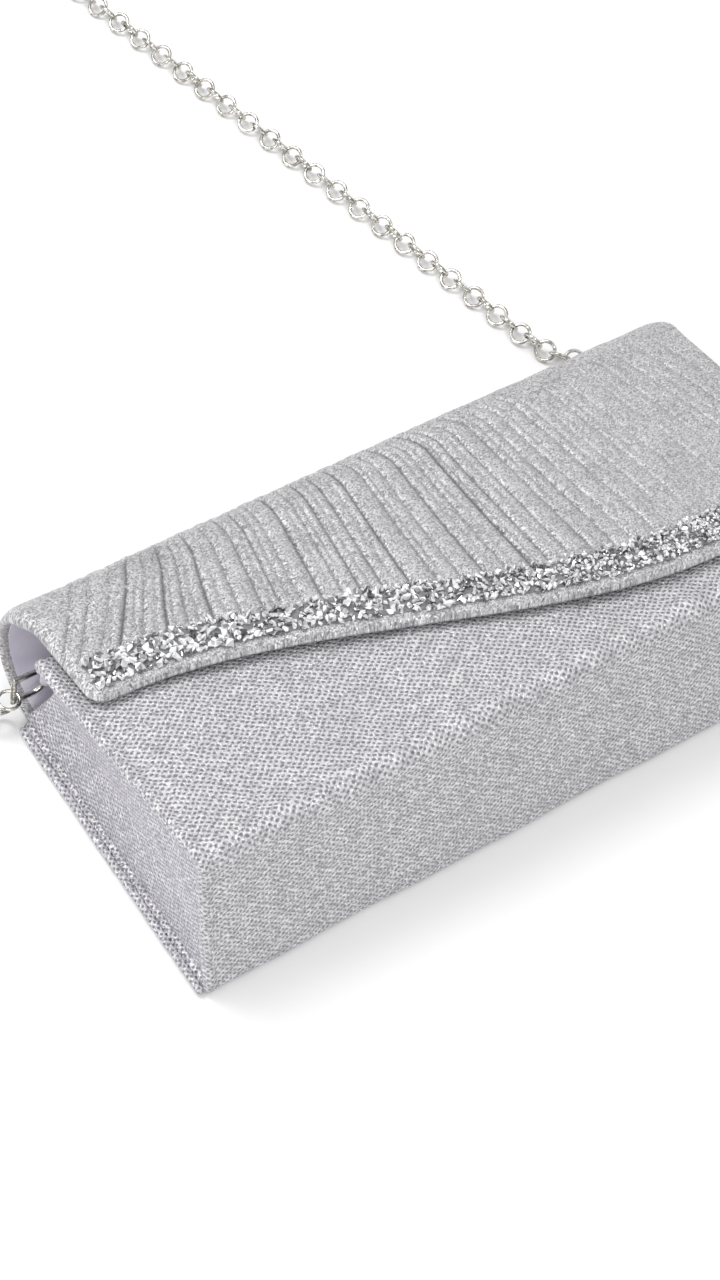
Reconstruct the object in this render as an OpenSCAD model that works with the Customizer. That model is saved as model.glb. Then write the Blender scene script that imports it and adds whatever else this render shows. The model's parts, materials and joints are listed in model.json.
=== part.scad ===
// Evening envelope clutch with a pleated fold-over flap and a chain strap.
// It lies on its back. X runs along its width, Y from the bottom edge to the
// hinge, and Z up from the surface that the back panel lies on. The origin is
// the middle of the base of the bag itself, without its chain.

/* [Body] */
// Width of the bag over its panels
body_w = 248; // [230:1:270]
// Length of the flat part of the back panel
back_len = 102; // [100:1:106]
// How far the front crease leans in from the bottom edge
crease_y = 14; // [10:1:16]
// Height of the front crease above the back panel's outside
crease_z = 56; // [54:0.5:57]
// Length of the front panel, from the crease to the mouth
front_len = 88; // [80:1:89]
// Slope of the front panel and the flap towards the hinge, in degrees
front_slope = 11.25; // [11:0.25:12]
// Outer radius of the rolled hinge
hinge_r = 22; // [22:0.25:23]

/* [Layers] */
// Thickness of the glitter fabric
cover_t = 0.8; // [0.6:0.1:0.8]
// Thickness of the stiffening boards in the body
board_t = 1.6; // [1.2:0.1:1.8]
// Thickness of the satin lining
lining_t = 0.6; // [0.4:0.1:0.6]
// Thickness of the foam under the pleated fabric
foam_t = 1.4; // [1:0.1:1.4]
// Thickness of the board in the flap
flap_board_t = 1.4; // [1:0.1:1.4]

/* [Flap] */
// Width of the flap
flap_w = 240; // [220:1:244]
// Length of the flap at its short left end
flap_short = 34; // [30:1:40]
// Length of the flap at its long right end
flap_long = 83; // [75:1:86]
// Where the wave of the flap's edge begins, from the middle
wave_start = -118; // [-119:1:-100]
// Where the wave of the flap's edge ends, from the middle
wave_end = 70; // [50:1:90]
// Width of the stone trim
trim_w = 12; // [8:0.5:14]
// Plain border between the stone trim and the flap's edge
trim_border = 4.5; // [3:0.5:6]
// Height of the stones above the fabric
trim_t = 2.2; // [1.5:0.1:3]

/* [Snap] */
// Radius of both halves of the magnetic snap
snap_r = 8; // [7:0.5:9]
// Distance of the snap from the start of the flap
snap_from_hinge = 42; // [38:1:44]

/* [Strap] */
// Distance of the ring's pivot from the middle of the bag
pivot_x = 113.5; // [112:0.5:114]
// Radius of the ring's wire
ring_wire_r = 0.9; // [0.7:0.1:1]
// Radius of the ring's bow
ring_bow_r = 5.5; // [5:0.1:5.5]
// Radius of the chain links' wire
link_wire_r = 0.56; // [0.5:0.02:0.6]
// Outer diameter of the chain
chain_d = 7.6; // [7:0.1:7.6]

/* [Hidden] */
$fn = 64;
glitter = [0.78, 0.77, 0.80];
glitter_shade = [0.72, 0.71, 0.75];
satin = [0.73, 0.71, 0.80];
board_grey = [0.62, 0.58, 0.52];
foam_white = [0.93, 0.93, 0.92];
steel = [0.86, 0.85, 0.82];

// The bag's side profile
depth = back_len + hinge_r;
bottom_angle = atan2(crease_z, crease_y);
wall_t = cover_t + board_t + lining_t;
// How far a cut runs past what it cuts
past = 1;
flap_t = cover_t + foam_t + flap_board_t + lining_t;
back_heading = 180;
front_heading = -front_slope;
crease_gap = 0.3;
side_gap = 0.3;
hinge_end_angle = 90 - front_slope;
hinge_w = flap_w + 4;
padding_w = flap_w + 2;

// Side panels and what sits in the mouth
gusset_inset = 2.3;
gusset_x = body_w / 2 - gusset_inset;
gusset_foot_y = back_len + 2;
gusset_foot_run = 4;
gusset_foot_z = wall_t + 0.4;
gusset_top = 76;
binding_r = 1.25;
binding_gap = 0.05;
binding_z = 1.5;
pocket_w = 150;
pocket_from = 22;
pocket_to = 86;
pocket_t = 0.5;

// The snap, in the flap's own height above the hinge's axis
front_below_flap = back_len * sin(front_slope) + hinge_r * cos(front_slope) + hinge_r
    - crease_y * sin(front_slope) - crease_z * cos(front_slope);
front_face_h = hinge_r - front_below_flap;
front_to_flap = (back_len - crease_y) * cos(front_slope) + (crease_z - hinge_r) * sin(front_slope);
snap_on_front = front_to_flap - snap_from_hinge;
snap_clearance = 0.2;
snap_fit = 0.1;
magnet_fit = 0.05;
socket_proud = 0.9;
socket_sunk = 1.9;
recess_r = 3.4;
recess_depth = 1.6;
magnet_in_r = 4.2;
magnet_out_r = 7.2;
magnet_top = 0.2;
washer_t = 0.4;
stud_r = 2.4;
stud_washer_r = snap_r - 1;
stud_overlap = 0.2;
stud_base_low = front_face_h + socket_proud + 0.25;
stud_tip_low = front_face_h + socket_proud - recess_depth + snap_clearance;

// The ring and its tab, from the ring's pivot outwards
ring_past_seam = 6;
ring_y = back_len + ring_past_seam;
ring_z = 13.2;
ring_bar_x = 2 * ring_bow_r + 0.5;
link_r = 3.25;
link_x = ring_bar_x + 1.5;
link_drop = 3.5;
tab_hole_r = 1.8;
tab_loop_r = 2.6;
tab_h = 5;
tab_tail = 13;
tab_tail_t = 1.2;
tab_foot_z = 4.2;

// Route of the chain on the table, from the right ring to the coil
ROUTE_RIGHT = [
    [131.5, 46, 4], [138, 50, 4], [140, 59, 4], [135, 68, 4], [125, 72, 4],
    [114, 74, 4], [105, 79, 4], [100, 90, 4], [95, 110, 4], [90, 130, 4],
    [85, 150, 4], [80, 170, 4], [75, 190, 4], [70, 210, 4], [65, 230, 4],
    [60, 250, 4], [55, 270, 4], [50, 290, 4], [46, 308, 4], [40, 324, 4],
    [32, 340, 4], [25, 352, 4], [18, 365, 4]
];
// Route of the chain on the table, from the coil to the left ring
ROUTE_LEFT = [
    [-59.5, 361.5, 11.4], [-66, 344, 9], [-72, 327, 6], [-78, 309, 4], [-84, 291, 4],
    [-90, 272, 4], [-96, 253, 4], [-102, 234, 4], [-107, 215, 4], [-112, 196, 4],
    [-117, 177, 4], [-122, 158, 4], [-127, 139, 4], [-132, 120, 4], [-136, 102, 4],
    [-139, 85, 4], [-141, 71, 4], [-141, 60, 4], [-138, 51, 4], [-131.5, 46, 4]
];
coil_centre = [-20, 347];
coil_mid_r = 38.2;
coil_h = 15.2;
tie_angle = 90;
tie_t = 0.8;
tie_w = 3;
tube_sides = 8;

// Inward normal of a line that runs at the given heading round the profile
function inward(heading) = [sin(heading), -cos(heading)];

// Corner of two lines through p after both move inwards by t
function mitre(p, h1, h2, t) =
    p + t * (inward(h1) + inward(h2)) / (1 + inward(h1) * inward(h2));

function base_corner(t) = mitre([0, 0], back_heading, bottom_angle, t);
function crease_corner(t) = mitre([crease_y, crease_z], bottom_angle, front_heading, t);

// How far along the front panel its mitred end starts, at depth t
function front_start(t) = crease_gap + t * tan((bottom_angle + front_slope) / 2);

function smooth(t) = t <= 0 ? 0 : t >= 1 ? 1 : t * t * (3 - 2 * t);

// Length of the flap at x, along its wave
function edge_len(x) =
    flap_short + (flap_long - flap_short) * smooth((x - wave_start) / (wave_end - wave_start));

// Outline of the flap, drawn in by inset on its three free edges
function flap_outline(inset, left_r = 6, right_r = 10, steps = 22, arc_steps = 4) =
    let (half = flap_w / 2 - inset, a = left_r - inset, b = right_r - inset)
    concat(
        [[-half, -side_gap]],
        [for (i = [0:arc_steps])
            let (q = 90 * i / arc_steps)
            [-half + a - a * cos(q), -(edge_len(a - half) - inset - a + a * sin(q))]],
        [for (i = [1:steps - 1])
            let (x = -half + a + (2 * half - a - b) * i / steps)
            [x, -(edge_len(x) - inset)]],
        [for (i = [0:arc_steps])
            let (q = 90 * (1 - i / arc_steps))
            [half - b + b * cos(q), -(flap_long - inset - b + b * sin(q))]],
        [[half, -side_gap]]
    );

// Outline of the stone trim, which runs along the flap's edge
function trim_outline(steps = 26) =
    let (half = flap_w / 2 - trim_border)
    concat(
        [for (i = [0:steps])
            let (x = -half + 2 * half * i / steps)
            [x, -(edge_len(x) - trim_border)]],
        [for (i = [steps:-1:0])
            let (x = -half + 2 * half * i / steps)
            [x, -(edge_len(x) - trim_border - trim_w)]]
    );

function unit(v) = v / norm(v);

// Points round a tube of radius r that follows the route
function tube_points(route, r) = [
    for (i = [0:len(route) - 1])
        let (
            before = route[max(i - 1, 0)],
            after = route[min(i + 1, len(route) - 1)],
            along = unit(after - before),
            side = unit(cross(along, [0, 0, 1])),
            up = cross(side, along)
        )
        for (k = [0:tube_sides - 1])
            let (q = 360 * (k + 0.5) / tube_sides)
            route[i] + r * (side * cos(q) + up * sin(q))
];

function tube_faces(rings) = concat(
    [[for (k = [tube_sides - 1:-1:0]) k]],
    [for (i = [0:rings - 2], k = [0:tube_sides - 1])
        let (n = (k + 1) % tube_sides)
        [i * tube_sides + k, i * tube_sides + n, (i + 1) * tube_sides + n, (i + 1) * tube_sides + k]],
    [[for (k = [0:tube_sides - 1]) (rings - 1) * tube_sides + k]]
);

module tube(route, r) {
    polyhedron(points = tube_points(route, r), faces = tube_faces(len(route)), convexity = 8);
}

// Moves the profile's own frame to the part's frame
module bag_frame() {
    translate([0, -depth / 2, 0]) children();
}

// A profile in Y and Z, drawn out along X
module across(w) {
    rotate([90, 0, 90]) translate([0, 0, -w / 2]) linear_extrude(w) children();
}

// Frame of the front panel: Y to the mouth, Z out of its face
module on_front() {
    bag_frame() translate([0, crease_y, crease_z]) rotate([-front_slope, 0, 0]) children();
}

// Frame of the flap: X along the hinge's axis, Z out of its face
module on_flap() {
    bag_frame() translate([0, back_len, hinge_r]) rotate([-front_slope, 0, 0]) children();
}

// Frame of a ring: its pivot is the origin and X points out of the bag
module at_ring(side) {
    bag_frame() translate([side * pivot_x, ring_y, ring_z]) mirror([side < 0 ? 1 : 0, 0, 0]) children();
}

module back_layer(t0, t1, w) {
    bag_frame() across(w)
        polygon([base_corner(t0), [back_len, t0], [back_len, t1], base_corner(t1)]);
}

module bottom_layer(t0, t1, w) {
    bag_frame() across(w)
        polygon([base_corner(t0), crease_corner(t0), crease_corner(t1), base_corner(t1)]);
}

module front_layer(t0, t1, w) {
    on_front() across(w)
        polygon([
            [front_start(t0), -t0], [front_len, -t0],
            [front_len, -t1], [front_start(t1), -t1]
        ]);
}

// A band of the rolled hinge between two radii, from the back panel to the flap
module hinge_layer(r_out, r_in, w) {
    bag_frame() translate([-w / 2, back_len, hinge_r]) rotate([90, 0, 90])
        rotate([0, 0, -90]) rotate_extrude(angle = 90 + hinge_end_angle, $fn = 96)
            translate([r_in, 0]) square([r_out - r_in, w]);
}

module flap_layer(h0, h1, inset) {
    on_flap() translate([0, 0, h0]) linear_extrude(h1 - h0) polygon(flap_outline(inset));
}

module gusset_layer(side, x0, t) {
    front_in = wall_t + side_gap;
    crease_in = crease_corner(front_in);
    top_in = crease_in + (gusset_top - crease_in[0] + crease_y) * [cos(front_slope), -sin(front_slope)];
    foot_in = [gusset_foot_y - gusset_foot_run, wall_t];
    foot_out = [gusset_foot_y, gusset_foot_z];
    bag_frame() translate([side * x0, 0, 0]) across(t)
        polygon([base_corner(wall_t), foot_in, foot_out, top_in, crease_in]);
}

module snap_hole(r) {
    translate([0, snap_on_front, -wall_t]) cylinder(r = r, h = 2 * wall_t);
}

// Body of the bag
module back_cover() color(glitter) back_layer(0, cover_t, body_w);
module back_board() color(board_grey) back_layer(cover_t, cover_t + board_t, body_w);
module back_lining() color(satin) back_layer(cover_t + board_t, wall_t, body_w);
module bottom_cover() color(glitter) bottom_layer(0, cover_t, body_w);
module bottom_board() color(board_grey) bottom_layer(cover_t, cover_t + board_t, body_w);
module bottom_lining() color(satin) bottom_layer(cover_t + board_t, wall_t, body_w);
module gusset(side) color(glitter_shade) gusset_layer(side, gusset_x + cover_t / 2, cover_t);
module gusset_lining(side) color(satin) gusset_layer(side, gusset_x - lining_t / 2, lining_t);

module binding(side) {
    color(glitter) bag_frame()
        translate([side * (body_w / 2 + binding_r + binding_gap), binding_z, binding_z])
        rotate([-90, 0, 0]) cylinder(r = binding_r, h = back_len - binding_z);
}

module hinge_cover() color(glitter) hinge_layer(hinge_r, hinge_r - cover_t, hinge_w);

module hinge_padding() {
    color(foam_white) hinge_layer(hinge_r - cover_t, hinge_r - cover_t - foam_t, padding_w);
}

module hinge_lining() {
    color(satin) hinge_layer(hinge_r - cover_t - foam_t, hinge_r - cover_t - foam_t - lining_t, hinge_w);
}

module inner_pocket() {
    color(satin) bag_frame() translate([-pocket_w / 2, pocket_from, wall_t])
        cube([pocket_w, pocket_to - pocket_from, pocket_t]);
}

// A ribbon loop round the ring's bow, with its tail sewn to the hinge lining
module ring_tab(side) {
    color(satin) at_ring(side) difference() {
        union() {
            translate([0, 0, -tab_h / 2]) cylinder(r = tab_loop_r, h = tab_h);
            translate([-tab_tail, -tab_tail_t / 2, tab_foot_z - ring_z])
                cube([tab_tail, tab_tail_t, tab_h / 2 + ring_z - tab_foot_z]);
        }
        translate([0, 0, -ring_z]) cylinder(r = tab_hole_r, h = 2 * ring_z);
        translate([-tab_loop_r, -tab_loop_r, -ring_z])
            cube([2 * tab_loop_r, 2 * tab_loop_r, ring_z - tab_h / 2]);
    }
}

// Front panel
module front_cover() {
    color(glitter) difference() {
        front_layer(0, cover_t, body_w);
        on_front() snap_hole(snap_r + snap_fit);
    }
}

module front_board() {
    color(board_grey) difference() {
        front_layer(cover_t, cover_t + board_t, body_w);
        on_front() snap_hole(snap_r + 2 * snap_fit);
    }
}

module front_lining() color(satin) front_layer(cover_t + board_t, wall_t, body_w);

module snap_socket() {
    color(steel) on_front() translate([0, snap_on_front, 0]) difference() {
        translate([0, 0, -socket_sunk]) cylinder(r = snap_r, h = socket_sunk + socket_proud);
        translate([0, 0, socket_proud - recess_depth]) cylinder(r = recess_r, h = recess_depth + past);
        translate([0, 0, -socket_sunk - past]) difference() {
            cylinder(r = magnet_out_r, h = socket_sunk + past + magnet_top);
            cylinder(r = magnet_in_r, h = socket_sunk + past + magnet_top);
        }
    }
}

module snap_magnet() {
    color("dimgray") on_front() translate([0, snap_on_front, -socket_sunk]) difference() {
        cylinder(r = magnet_out_r - magnet_fit, h = socket_sunk + magnet_top - magnet_fit);
        translate([0, 0, -past]) cylinder(r = magnet_in_r + magnet_fit, h = socket_sunk + magnet_top + 2 * past);
    }
}

module socket_washer() {
    color(steel) on_front() translate([0, snap_on_front, -socket_sunk - washer_t])
        cylinder(r = snap_r, h = washer_t);
}

// Flap
module flap_cover() {
    color(glitter) difference() {
        flap_layer(hinge_r - flap_t, hinge_r, 0);
        flap_layer(hinge_r - flap_t - past, hinge_r - cover_t, cover_t);
        on_flap() translate([-flap_w / 2, -2 * side_gap, hinge_r - flap_t - past])
            cube([flap_w, 2 * side_gap, flap_t + past - cover_t]);
    }
}

module flap_padding() {
    color(foam_white) difference() {
        flap_layer(hinge_r - cover_t - foam_t, hinge_r - cover_t, cover_t);
        on_flap() translate([0, -snap_from_hinge, hinge_r - cover_t - foam_t - past])
            cylinder(r = stud_washer_r + 2 * snap_fit, h = past + washer_t);
    }
}

module flap_board() {
    color(board_grey) flap_layer(hinge_r - flap_t + lining_t, hinge_r - cover_t - foam_t, cover_t);
}

module flap_lining() {
    color(satin) difference() {
        flap_layer(hinge_r - flap_t, hinge_r - flap_t + lining_t, cover_t);
        on_flap() translate([0, -snap_from_hinge, hinge_r - flap_t - past])
            cylinder(r = snap_r + snap_fit, h = lining_t + 2 * past);
    }
}

module stone_trim() {
    color("gainsboro") on_flap() translate([0, 0, hinge_r]) linear_extrude(trim_t) polygon(trim_outline());
}

module snap_stud() {
    color(steel) on_flap() translate([0, -snap_from_hinge, 0]) {
        translate([0, 0, stud_base_low])
            cylinder(r = snap_r, h = hinge_r - flap_t + lining_t - stud_base_low);
        translate([0, 0, stud_tip_low]) cylinder(r = stud_r, h = stud_base_low + stud_overlap - stud_tip_low);
    }
}

module stud_washer() {
    color(steel) on_flap() translate([0, -snap_from_hinge, hinge_r - cover_t - foam_t])
        cylinder(r = stud_washer_r, h = washer_t);
}

// Strap fittings
module d_ring(side) {
    color(steel) at_ring(side) union() {
        translate([ring_bow_r, 0, 0]) rotate([90, 0, 0]) rotate([0, 0, 90])
            rotate_extrude(angle = 180) translate([ring_bow_r, 0]) circle(r = ring_wire_r);
        for (z = [-ring_bow_r, ring_bow_r]) {
            translate([ring_bow_r, 0, z]) rotate([0, 90, 0])
                cylinder(r = ring_wire_r, h = ring_bar_x - ring_bow_r);
            translate([ring_bar_x, 0, z]) sphere(r = ring_wire_r);
        }
        translate([ring_bar_x, 0, -ring_bow_r]) cylinder(r = ring_wire_r, h = 2 * ring_bow_r);
    }
}

module end_link(side) {
    color(steel) at_ring(side) translate([link_x, 0, -link_drop])
        rotate_extrude() translate([link_r, 0]) circle(r = link_wire_r);
}

module chain_run_right() color(steel) tube(ROUTE_RIGHT, chain_d / 2);
module chain_run_left() color(steel) tube(ROUTE_LEFT, chain_d / 2);

module chain_coil() {
    color(steel) translate(coil_centre)
        rotate_extrude() translate([coil_mid_r - chain_d, 0]) square([2 * chain_d, coil_h]);
}

// A soft tie round the coil's three strands
module coil_tie() {
    color("white") translate(coil_centre) rotate([0, 0, tie_angle]) translate([coil_mid_r, 0, 0])
        rotate([90, 0, 0]) translate([0, 0, -tie_w / 2]) linear_extrude(tie_w) difference() {
            translate([-chain_d - tie_t, 0]) square([2 * (chain_d + tie_t), coil_h + tie_t]);
            translate([-chain_d, tie_t]) square([2 * chain_d, coil_h - tie_t]);
        }
}

back_cover();
back_board();
back_lining();
bottom_cover();
bottom_board();
bottom_lining();
gusset(-1);  // gusset_left
gusset(1);  // gusset_right
gusset_lining(-1);  // gusset_lining_left
gusset_lining(1);  // gusset_lining_right
binding(-1);  // binding_left
binding(1);  // binding_right
hinge_cover();
hinge_padding();
hinge_lining();
inner_pocket();
ring_tab(-1);  // ring_tab_left
ring_tab(1);  // ring_tab_right
front_cover();
front_board();
front_lining();
snap_socket();
snap_magnet();
socket_washer();
flap_cover();
flap_padding();
flap_board();
flap_lining();
stone_trim();
snap_stud();
stud_washer();
d_ring(-1);  // d_ring_left
d_ring(1);  // d_ring_right
end_link(-1);  // end_link_left
end_link(1);  // end_link_right
chain_run_right();
chain_run_left();
chain_coil();
coil_tie();
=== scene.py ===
"""Looks of an evening clutch: glitter fabric, pleats, crushed stones, satin and a link chain.

X runs along the hinge, Y from the bottom edge to the hinge, and Z up. The shapes are worked
out in millimetres, and build() turns them into metres.
"""

import json
import math

import bmesh
import bpy
import numpy as np
from mathutils import Matrix, Vector


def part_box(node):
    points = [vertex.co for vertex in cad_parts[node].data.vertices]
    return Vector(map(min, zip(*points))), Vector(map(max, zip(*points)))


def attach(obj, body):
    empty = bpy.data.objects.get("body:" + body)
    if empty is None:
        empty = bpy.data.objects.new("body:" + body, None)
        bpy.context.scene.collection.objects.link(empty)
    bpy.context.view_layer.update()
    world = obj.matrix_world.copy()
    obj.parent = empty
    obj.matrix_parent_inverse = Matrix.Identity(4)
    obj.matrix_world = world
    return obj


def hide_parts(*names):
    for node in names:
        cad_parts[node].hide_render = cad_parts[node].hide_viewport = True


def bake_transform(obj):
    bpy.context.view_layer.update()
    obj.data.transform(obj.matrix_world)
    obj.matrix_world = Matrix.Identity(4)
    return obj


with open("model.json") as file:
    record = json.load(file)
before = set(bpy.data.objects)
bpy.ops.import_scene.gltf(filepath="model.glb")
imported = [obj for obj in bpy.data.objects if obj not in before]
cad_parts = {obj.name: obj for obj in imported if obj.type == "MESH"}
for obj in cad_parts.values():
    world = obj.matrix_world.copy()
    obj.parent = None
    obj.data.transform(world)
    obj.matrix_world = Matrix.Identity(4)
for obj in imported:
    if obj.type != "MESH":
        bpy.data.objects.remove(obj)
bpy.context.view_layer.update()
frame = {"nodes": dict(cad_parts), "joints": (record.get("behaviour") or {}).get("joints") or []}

# ---- sizes, in millimetres
MM = 1000.0  # in a metre
JOINTS = {joint["name"]: joint for joint in frame["joints"]}
HINGE = np.array(JOINTS["flap_hinge"]["pos_m"][1:]) * MM
CREASE = np.array(JOINTS["mouth_open"]["pos_m"][1:]) * MM
HINGE_R = HINGE[1]
BODY_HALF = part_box("back_cover")[1].x * MM
BASE = np.array([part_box("back_cover")[0].y * MM, 0.0])
FLAP_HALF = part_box("flap_cover")[1].x * MM

FRONT_SLOPE = math.radians(11.25)
FRONT_LEN = 88.0
FRONT_DIR = np.array([math.cos(FRONT_SLOPE), -math.sin(FRONT_SLOPE)])
FRONT_OUT = np.array([math.sin(FRONT_SLOPE), math.cos(FRONT_SLOPE)])
FLAP_DIR = -FRONT_DIR
MOUTH = CREASE + FRONT_LEN * FRONT_DIR
SEAM = np.array([HINGE[0], 0.0])

# The roll: its arc runs from the back panel's seam up to the start of the flap
ARC_LEN = (math.pi - FRONT_SLOPE) * HINGE_R

# The flap's wavy edge, its band of stones, and the heights of its layers from the hinge's axis
FLAP_SHORT = 32.0
FLAP_LONG = 81.0
WAVE_START = -116.0
WAVE_END = 70.0
LEFT_CORNER = 6.0
RIGHT_CORNER = 10.0
TRIM_BORDER = 2.5
TRIM_WIDTH = 12.0
TRIM_HALF = 116.0
ROLL_WIDER = 2.0
FLAP_UNDER = 17.8
ROLL_UNDER = 19.5
BOARD_UNDER = 18.45
BOARD_TOP = 19.75
FOAM_UNDER = 20.0
FOAM_TOP = 21.4

# The chain
LINK_R = 3.25
LINK_WIRE = 0.62
LINK_PITCH = 2 * (LINK_R - LINK_WIRE)
LINK_SIDES = 24
WIRE_SIDES = 8
LEAD_LINKS = 6

# Links lean by turns over and up, within some play. Each rests lower than the route on the table
LEAN_OVER = -32.0
LEAN_UP = 58.0
LEAN_PLAY = 7.0
OVER_DROP = 1.4
UP_DROP = 0.4

# The strap's route, with a coil between its two runs
ROUTE_RIGHT = [
    (131.5, 46, 4), (138, 50, 4), (140, 59, 4), (135, 68, 4), (125, 72, 4),
    (114, 74, 4), (105, 79, 4), (100, 90, 4), (95, 110, 4), (90, 130, 4),
    (85, 150, 4), (80, 170, 4), (75, 190, 4), (70, 210, 4), (65, 230, 4),
    (60, 250, 4), (55, 270, 4), (50, 290, 4), (46, 308, 4), (40, 324, 4),
    (32, 340, 4), (25, 352, 4), (18, 365, 4),
]
ROUTE_LEFT = [
    (-59.5, 361.5, 11.4), (-66, 344, 9), (-72, 327, 6), (-78, 309, 4), (-84, 291, 4),
    (-90, 272, 4), (-96, 253, 4), (-102, 234, 4), (-107, 215, 4), (-112, 196, 4),
    (-117, 177, 4), (-122, 158, 4), (-127, 139, 4), (-132, 120, 4), (-136, 102, 4),
    (-139, 85, 4), (-141, 71, 4), (-141, 60, 4), (-138, 51, 4), (-131.5, 46, 4),
]
COIL_CENTRE = (-20.0, 347.0)
COIL_OUTER = 42.0
COIL_INNER = 34.4
COIL_GROUND = 4.0
COIL_TOP = 11.4


# ---- numbers and curves
CORNER_DETAIL = 1.6  # how much closer points lie on a rounded corner than on a straight run


def smooth(t):
    """0 up to t = 0, 1 from t = 1, and an easy curve between them."""
    t = np.clip(t, 0.0, 1.0)
    return t * t * (3 - 2 * t)


def unit(v):
    """A vector, or each row of vectors, at a length of 1."""
    return v / np.linalg.norm(v, axis=-1, keepdims=True)


def middle_of(node):
    """The middle of a CAD node's box."""
    low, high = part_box(node)
    return (low + high) * MM / 2


def run_length(path):
    """The length along a path up to each of its points."""
    return np.concatenate([[0], np.cumsum(np.linalg.norm(np.diff(path, axis=0), axis=1))])


def ripple(x, y, seed, waves, height):
    """A soft, seeded unevenness: a few sine waves of the given wavelengths, in every direction."""
    rng = np.random.default_rng(seed)
    total = np.zeros(np.broadcast(x, y).shape)
    for wave in waves:
        turn, phase = rng.uniform(0, math.pi), rng.uniform(0, 2 * math.pi)
        total += np.sin(2 * math.pi * (x * math.cos(turn) + y * math.sin(turn)) / wave + phase)
    return total * height / len(waves)


def line(start, end, step):
    """Points from start up to, but without, end."""
    count = max(1, round(np.linalg.norm(end - start) / step))
    return [start + (end - start) * k / count for k in range(count)]


def rounded_path(corners, radii, step):
    """Points in Y and Z along straight runs whose corners are rounded."""
    corners = [np.array(c, float) for c in corners]
    points, here = [], corners[0]
    for corner, after, radius in zip(corners[1:], corners[2:], radii):
        back, on = unit(here - corner), unit(after - corner)
        half = math.acos(back @ on) / 2
        centre = corner + unit(back + on) * radius / math.sin(half)
        reach = radius / math.tan(half)
        points += line(here, corner + back * reach, step)
        first = corner + back * reach - centre
        last = corner + on * reach - centre
        sweep = math.pi - 2 * half
        count = max(4, round(sweep * radius / step * CORNER_DETAIL))
        for k in range(count):
            t = k / count
            spoke = math.sin((1 - t) * sweep) * first + math.sin(t * sweep) * last
            points.append(centre + spoke / math.sin(sweep))
        here = centre + last
    return np.array(points + line(here, corners[-1], step) + [corners[-1]])


def outward(path):
    """Unit normals of a path in Y and Z, on its right-hand side, and the length up to each point."""
    along = unit(np.gradient(path, axis=0))
    return np.stack([along[:, 1], -along[:, 0]], axis=1), run_length(path)


def spline(points, step):
    """A smooth line through 3-D points, with a point about every step."""
    p = np.array(points, float)
    p = np.vstack([2 * p[0] - p[1], p, 2 * p[-1] - p[-2]])
    made = []
    for a, b, c, d in zip(p, p[1:], p[2:], p[3:]):
        count = max(2, round(np.linalg.norm(c - b) / step))
        for k in range(count):
            t = k / count
            made.append(0.5 * (2 * b + (c - a) * t + (2 * a - 5 * b + 4 * c - d) * t**2
                               + (3 * b - a - 3 * c + d) * t**3))
    return np.array(made + [p[-2]])


def spaced(path, pitch, first):
    """Points along a path at even spaces, the first of them after a length of first."""
    length = run_length(path)
    stops = np.arange(first, length[-1] + 1e-6, pitch)
    return np.stack([np.interp(stops, length, path[:, k]) for k in range(3)], axis=1)


# ---- meshes
def build(name, points, faces, uv=None, values=None, flat=False):
    """A mesh object from millimetre points. uv holds one pair and values one float for each point."""
    mesh = bpy.data.meshes.new(name)
    metres = np.asarray(points, float).reshape(-1, 3) / MM
    mesh.from_pydata(metres.tolist(), [], [tuple(f) for f in faces])
    if uv is not None:
        corner = np.empty(len(mesh.loops), np.int32)
        mesh.loops.foreach_get("vertex_index", corner)
        layer = mesh.uv_layers.new(name="cloth")
        layer.data.foreach_set("uv", np.asarray(uv, np.float32).reshape(-1, 2)[corner].ravel())
    for key, value in (values or {}).items():
        attribute = mesh.attributes.new(key, "FLOAT", "POINT")
        attribute.data.foreach_set("value", np.asarray(value, np.float32).ravel())
    mesh.polygons.foreach_set("use_smooth", [not flat] * len(mesh.polygons))
    mesh.validate()
    made = bpy.data.objects.new(name, mesh)
    bpy.context.scene.collection.objects.link(made)
    return made


def grid_faces(rows, columns, start=0, flip=False):
    """Quads of a grid whose points are numbered row by row."""
    i, j = np.meshgrid(np.arange(rows - 1), np.arange(columns - 1), indexing="ij")
    a = (start + i * columns + j).ravel()
    quads = np.stack([a, a + 1, a + columns + 1, a + columns], axis=1)
    return quads[:, ::-1] if flip else quads


def border(rows, columns):
    """The numbers of a grid's border points, once round."""
    top = [(0, j) for j in range(columns)] + [(i, columns - 1) for i in range(1, rows)]
    back = [(rows - 1, j) for j in range(columns - 2, -1, -1)] + [(i, 0) for i in range(rows - 2, 0, -1)]
    return np.array([i * columns + j for i, j in top + back])


def rework(piece, *steps):
    """Changes the piece's mesh step by step, and then turns all its faces outwards."""
    bm = bmesh.new()
    bm.from_mesh(piece.data)
    for step in steps:
        step(bm)
    bmesh.ops.recalc_face_normals(bm, faces=bm.faces)
    bm.to_mesh(piece.data)
    bm.free()


def shell(name, front, back, uv, values=None):
    """A closed piece between two grids of points that match one to one. uv is a pair of grids."""
    rows, columns = front.shape[:2]
    count = rows * columns
    ring = border(rows, columns)
    after = np.roll(ring, -1)
    rim = np.stack([after, ring, ring + count, after + count], axis=1)
    faces = np.vstack([grid_faces(rows, columns), grid_faces(rows, columns, count, True), rim])
    points = np.vstack([front.reshape(-1, 3), back.reshape(-1, 3)])
    both = {key: np.tile(np.asarray(value).ravel(), 2) for key, value in (values or {}).items()}
    made = build(name, points, faces, np.tile(np.stack(uv, axis=2).reshape(-1, 2), (2, 1)), both)
    rework(made)
    return made


def cloth(name, grid, thickness, uv, values=None):
    """A sheet whose shown face is the grid. A negative thickness goes to the other side of it."""
    normal = np.cross(np.gradient(grid, axis=0), np.gradient(grid, axis=1))
    normal /= np.maximum(np.linalg.norm(normal, axis=2), 1e-9)[:, :, None]
    return shell(name, grid, grid - thickness * normal, uv, values)


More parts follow.
